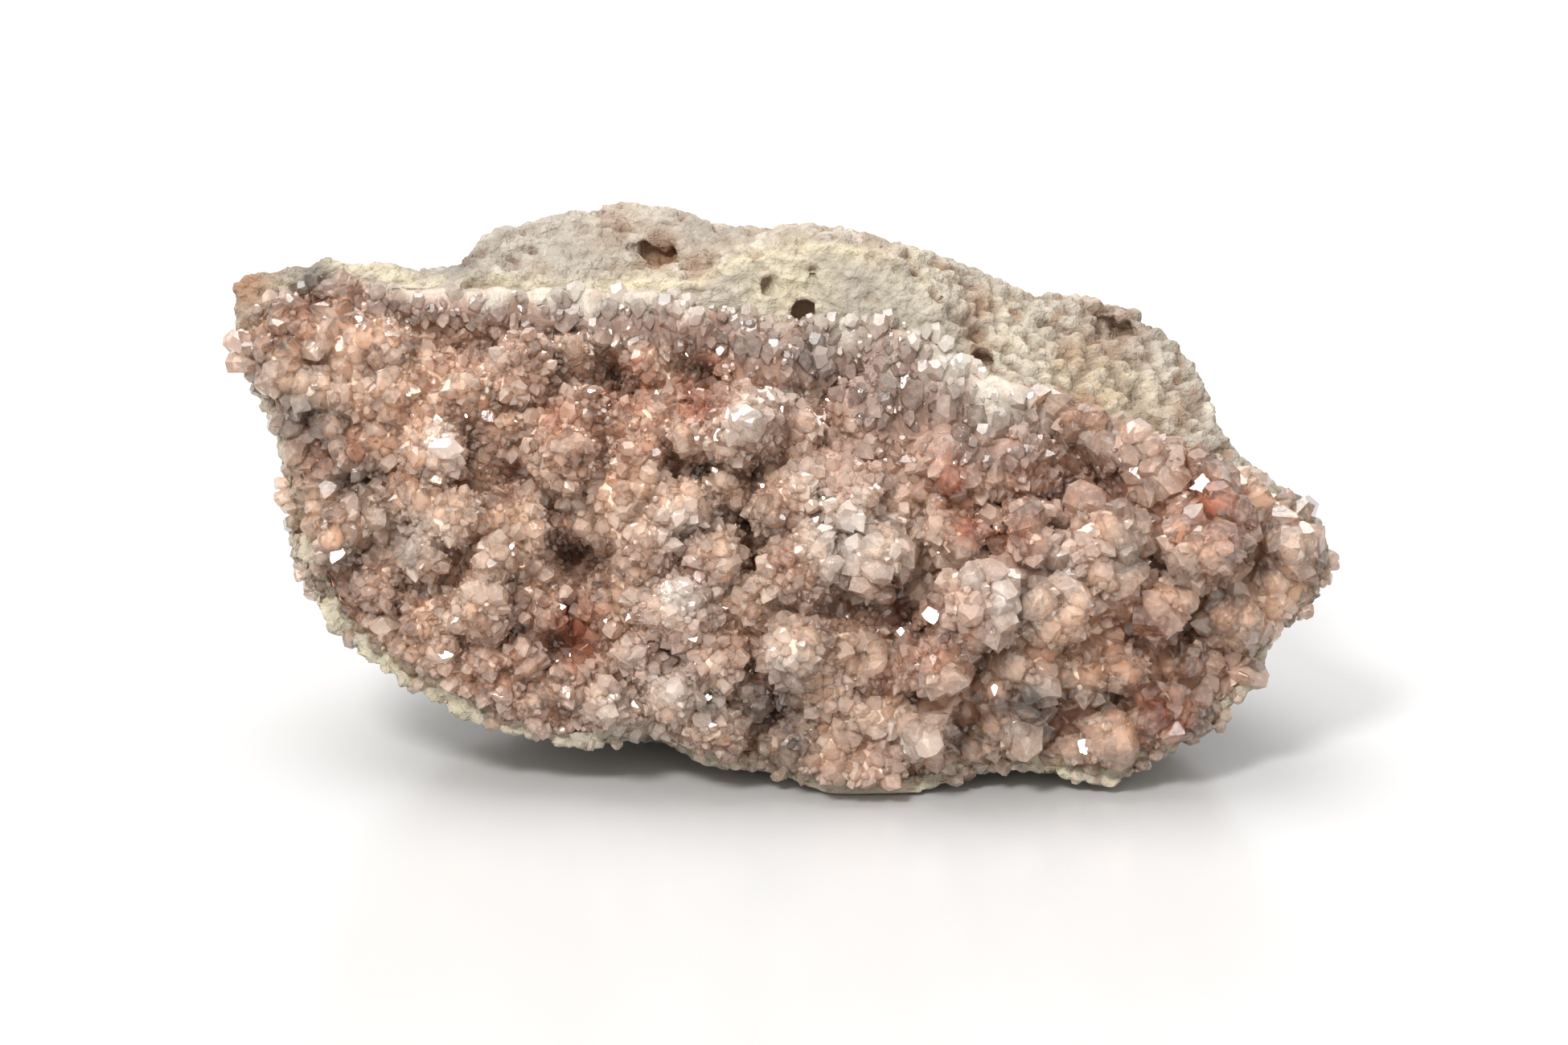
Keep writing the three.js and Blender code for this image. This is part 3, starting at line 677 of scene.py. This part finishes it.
def roomy(spots, widths):
    """Which spots are left when each crystal keeps its room and the widest go first."""
    cell = 2 * ROOM * widths.max()
    taken = {}
    kept = []
    cells = np.floor(spots / cell).astype(int).tolist()
    rows = spots.tolist()
    for i in np.argsort(-widths).tolist():
        (x, y, z), (cx, cy, cz), width = rows[i], cells[i], widths[i]
        crowd = [
            other
            for dx in (-1, 0, 1)
            for dy in (-1, 0, 1)
            for dz in (-1, 0, 1)
            for other in taken.get((cx + dx, cy + dy, cz + dz), ())
        ]
        if any(
            (x - a) ** 2 + (y - b) ** 2 + (z - c) ** 2 < (ROOM * (width + wide)) ** 2
            for a, b, c, wide in crowd
        ):
            continue
        taken.setdefault((cx, cy, cz), []).append((x, y, z, width))
        kept.append(i)
    return np.array(kept)


def unit(vectors):
    """The directions of vectors, each of length 1."""
    return vectors / np.linalg.norm(vectors, axis=1)[:, None]


kinds = [quartz_kind() for _ in range(KINDS)]
rind_tree = solid_tree(vertex_array(rind), rind.data.polygons)
foot_tree = solid_tree(places, foot.data.polygons)
eye = np.array(TOWARDS_EYE)

# Roots strewn over the side of the foot that shows, fewer on the wall and on the smooth spots, and none
# where the rind is in the way.
foot_normals = vertex_array(foot, "normal")
chosen = rng.integers(len(places), size=CANDIDATES)
chosen = chosen[foot_normals[chosen] @ eye > -0.1]
bare = wall * (1 - WALL_SHARE * (1 - 0.75 * foot_tints["frost"]))
bare = np.maximum(bare, 0.97 * smooth_step(near_spots(in_picture(places), SMOOTH_SPOTS), 0.3, 0.5))
chosen = chosen[rng.random(len(chosen)) > bare[chosen]]
chosen = chosen[(above_line(in_picture(places[chosen]), RIDGE) < -EDGE_GAP) | (wall[chosen] < 0.5)]
free = [
    rind_tree.ray_cast(Vector(p - 0.5 * MM * n), Vector(n), 1.5 * MM)[0] is None
    for p, n in zip(places[chosen], foot_normals[chosen])
]
chosen = chosen[np.array(free)]
# The hollows' rust and painted shade carry over to the crystals that grow there.
spots, growth, depths = places[chosen], foot_normals[chosen], hollow[chosen]
spots = spots + SCATTER * MM * rng.standard_normal(spots.shape)
drop = wall[chosen]

# Widths: coarser to the right, mostly small, and smaller where the crust turns from the eye and in the
# hollows.
seen = in_picture(spots)
coarse = smooth_step(seen[:, 0] + 5 * rng.standard_normal(len(spots)), 0, 34)
coarse = np.maximum(coarse, 0.5 * smooth_step(-seen[:, 0], 29, 36)) * (1 - drop)
luck = rng.random(len(spots)) ** 2.2
least = FINE_WIDTH[0] + (COARSE_WIDTH[0] - FINE_WIDTH[0]) * coarse
most = FINE_WIDTH[1] + (COARSE_WIDTH[1] - FINE_WIDTH[1]) * coarse
widths = (least + (most - least) * luck) * MM
widths *= (0.5 + 0.5 * smooth_step(growth @ eye, 0, 0.6)) * (1 - 0.35 * depths)

# Small crystals on the rim of the rind, one for every third point there.
rim_places, rim_normals = vertex_array(rind), vertex_array(rind, "normal")
on_rim = rng.choice(np.flatnonzero(overgrown), size=overgrown.sum() // 3, replace=False)
spots = np.concatenate([spots, rim_places[on_rim]])
growth = np.concatenate([growth, rim_normals[on_rim]])
depths = np.concatenate([depths, np.zeros(len(on_rim))])
drop = np.concatenate([drop, np.zeros(len(on_rim))])
widths = np.concatenate([widths, rng.uniform(*RIM_CRYSTALS, len(on_rim)) * MM])

# Each crystal keeps its room, and stands out of the foot or points down and out on the wall.
kept = roomy(spots, widths)
spots, growth, widths, depths, drop = (column[kept] for column in (spots, growth, widths, depths, drop))
upright = growth + TURN_TO_EYE * eye
hung = eye - DROOP * np.array(UP_PICTURE)
lean = UNEVEN * rng.standard_normal(growth.shape)
axes = unit(upright * (1 - drop[:, None]) + hung * drop[:, None] + lean)
stands = np.minimum(widths * rng.uniform(*STAND, len(widths)) * (1 - 0.5 * drop), MOST_STAND * MM)
stands *= 0.5 + 0.5 * smooth_step(growth @ eye, 0, 0.5)
lengths = stands + widths * ROOT
tips = spots + axes * stands[:, None]
clearness = CLEARNESS + WIDE_CLEARER * smooth_step(widths, 1.8 * MM, 3 * MM)
groups = [(tips, axes, widths, lengths, depths, clearness)]


def surface_at(across, height):
    """The point of the stone that shows at a place in the picture, and the way it faces."""
    start = picture_place(across, height, IN_FRONT)
    hits = [tree.ray_cast(start, -TOWARDS_EYE) for tree in (foot_tree, rind_tree)]
    point, normal = min((hit for hit in hits if hit[0] is not None), key=lambda hit: hit[3])[:2]
    return np.array(point), np.array(normal)


single = []
for across, height, width, stand in SINGLE_CRYSTALS:
    point, normal = surface_at(across, height)
    axis = unit((normal + SINGLE_TURN * eye + 0.25 * rng.standard_normal(3))[None])[0]
    length = stand + SINGLE_ROOT * width
    single.append((point + axis * stand * MM, axis, width * MM, length * MM, 0.0, SINGLE_CLEARNESS))
for line, width_range, length_range, spacing, lean in COMBS:
    line_across, line_height = zip(*line)
    for across in np.arange(line_across[0], line_across[-1], spacing):
        height = np.interp(across, line_across, line_height) + 0.35 * rng.standard_normal()
        point, normal = surface_at(across + 0.2 * rng.standard_normal(), height)
        forward = (lean + 0.1 * rng.standard_normal()) * eye
        hang = forward - np.array(UP_PICTURE) + 0.1 * rng.standard_normal(3)
        axis = unit(hang[None])[0]
        width, length = rng.uniform(*width_range), rng.uniform(*length_range)
        tip = point + (axis * length - 0.3 * width * eye) * MM
        single.append((tip, axis, width * MM, length * MM, 0.1, COMB_CLEARNESS))
groups.append(tuple(np.array(column) for column in zip(*single)))
tips, axes, widths, lengths, depths, clearness = (np.concatenate(column) for column in zip(*groups))
clear_of_floor = tips[:, 2] - np.maximum(lengths * axes[:, 2], 0) > FLOOR_GAP * widths
clear_of_floor &= tips[:, 2] > FLOOR_GAP * widths
columns = (tips, axes, widths, lengths, depths, clearness)
tips, axes, widths, lengths, depths, clearness = (column[clear_of_floor] for column in columns)

# Clearness varies from crystal to crystal, and milky and frosted ones are less clear.
clearness = np.clip(clearness + UNEVEN_CLEARNESS * rng.standard_normal(len(tips)), 0.3, 0.95)
tip_tints = tints(tips)
clearness *= 1 - 0.3 * np.clip(tip_tints["milk"], 0, 1) - 0.45 * tip_tints["frost"]

# Clear pink quartz: glassy flat faces that glint, milky veils inside, the foot showing through, and rust
# with painted shade in the hollows.
clear, output = new_material("clear_pink_quartz")
colour = quartz_colour(
    clear,
    "#FDE5D1",
    peach="#FDDCC2",
    milk="#FDF7F0",
    wall="#CCB0A0",
    frost="#DED5C8",
    rust="#DB875F",
    smoke="#968C84",
    hollow="#E8C6B0",
)
veils = grain(clear, 0.5, -0.6, 0.55)
see_through = add_node(
    clear, "ShaderNodeMath", {0: attribute(clear, "clearness"), 1: veils}, operation="MULTIPLY"
)
glint = add_node(
    clear,
    "ShaderNodeBump",
    {"Height": grain(clear, 0.35, 0.3, 0.7), "Distance": 0.03 * MM, "Strength": 0.2},
)
glass = add_node(
    clear,
    "ShaderNodeBsdfPrincipled",
    {
        "Base Color": colour,
        "Roughness": 0.08,
        "IOR": QUARTZ_IOR,
        "Coat Weight": 0.5,
        "Coat Roughness": 0.04,
        "Transmission Weight": see_through.outputs[0],
        "Normal": glint.outputs["Normal"],
    },
)
inside = add_node(
    clear, "ShaderNodeVolumeAbsorption", {"Color": linear_colour("#F4C8AC"), "Density": 60}
)
clear.node_tree.links.new(glass.outputs[0], output.inputs["Surface"])
clear.node_tree.links.new(inside.outputs[0], output.inputs["Volume"])
order = np.argsort(tips[:, 0])
for number, part in enumerate(np.array_split(order, math.ceil(len(order) / MOST_IN_A_MESH))):
    crystals = joined_crystals(
        f"crystals_{number + 1}",
        kinds,
        tips[part],
        axes[part],
        widths[part],
        lengths[part],
        {"hollow": depths[part], "clearness": clearness[part]},
    )
    crystals.data.materials.append(clear)
    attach(crystals, "root")
    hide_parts("crystal_crust")

# The table and the light.
# White acrylic that runs back out of sight, with a faint reflection. A broad light hangs overhead and a
# narrower one shines from the upper left front, in a white room.
OVERHEAD_DIRECTION = Vector((-0.2, 0.3, 1.0))
FRONT_DIRECTION = Vector((-0.5, -1.0, 1.2))
ROOM_BRIGHTNESS = 1.04
bpy.ops.mesh.primitive_plane_add(size=6)
table = bpy.context.object
table.name = "table"
acrylic, output = new_material("white_acrylic")
sheet = add_node(
    acrylic,
    "ShaderNodeBsdfPrincipled",
    {"Base Color": linear_colour("#BCBBBA"), "Roughness": 0.2, "IOR": 1.45},
)
acrylic.node_tree.links.new(sheet.outputs[0], output.inputs["Surface"])
table.data.materials.append(acrylic)


def add_sun(name, direction, strength, breadth):
    """A far light of some breadth in degrees that shines from a direction."""
    bpy.ops.object.light_add(type="SUN", rotation=direction.to_track_quat("Z", "Y").to_euler())
    sun = bpy.context.object
    sun.name = name
    sun.data.energy = strength
    sun.data.angle = math.radians(breadth)


add_sun("overhead_light", OVERHEAD_DIRECTION, 2.25, 45)
add_sun("front_light", FRONT_DIRECTION, 2.4, 14)
world = bpy.data.worlds.new("white_room")
world.use_nodes = True
world.node_tree.nodes["Background"].inputs["Color"].default_value = linear_colour("#FFFFFF")
world.node_tree.nodes["Background"].inputs["Strength"].default_value = ROOM_BRIGHTNESS
bpy.context.scene.world = world
bpy.context.scene.view_settings.view_transform = "Standard"
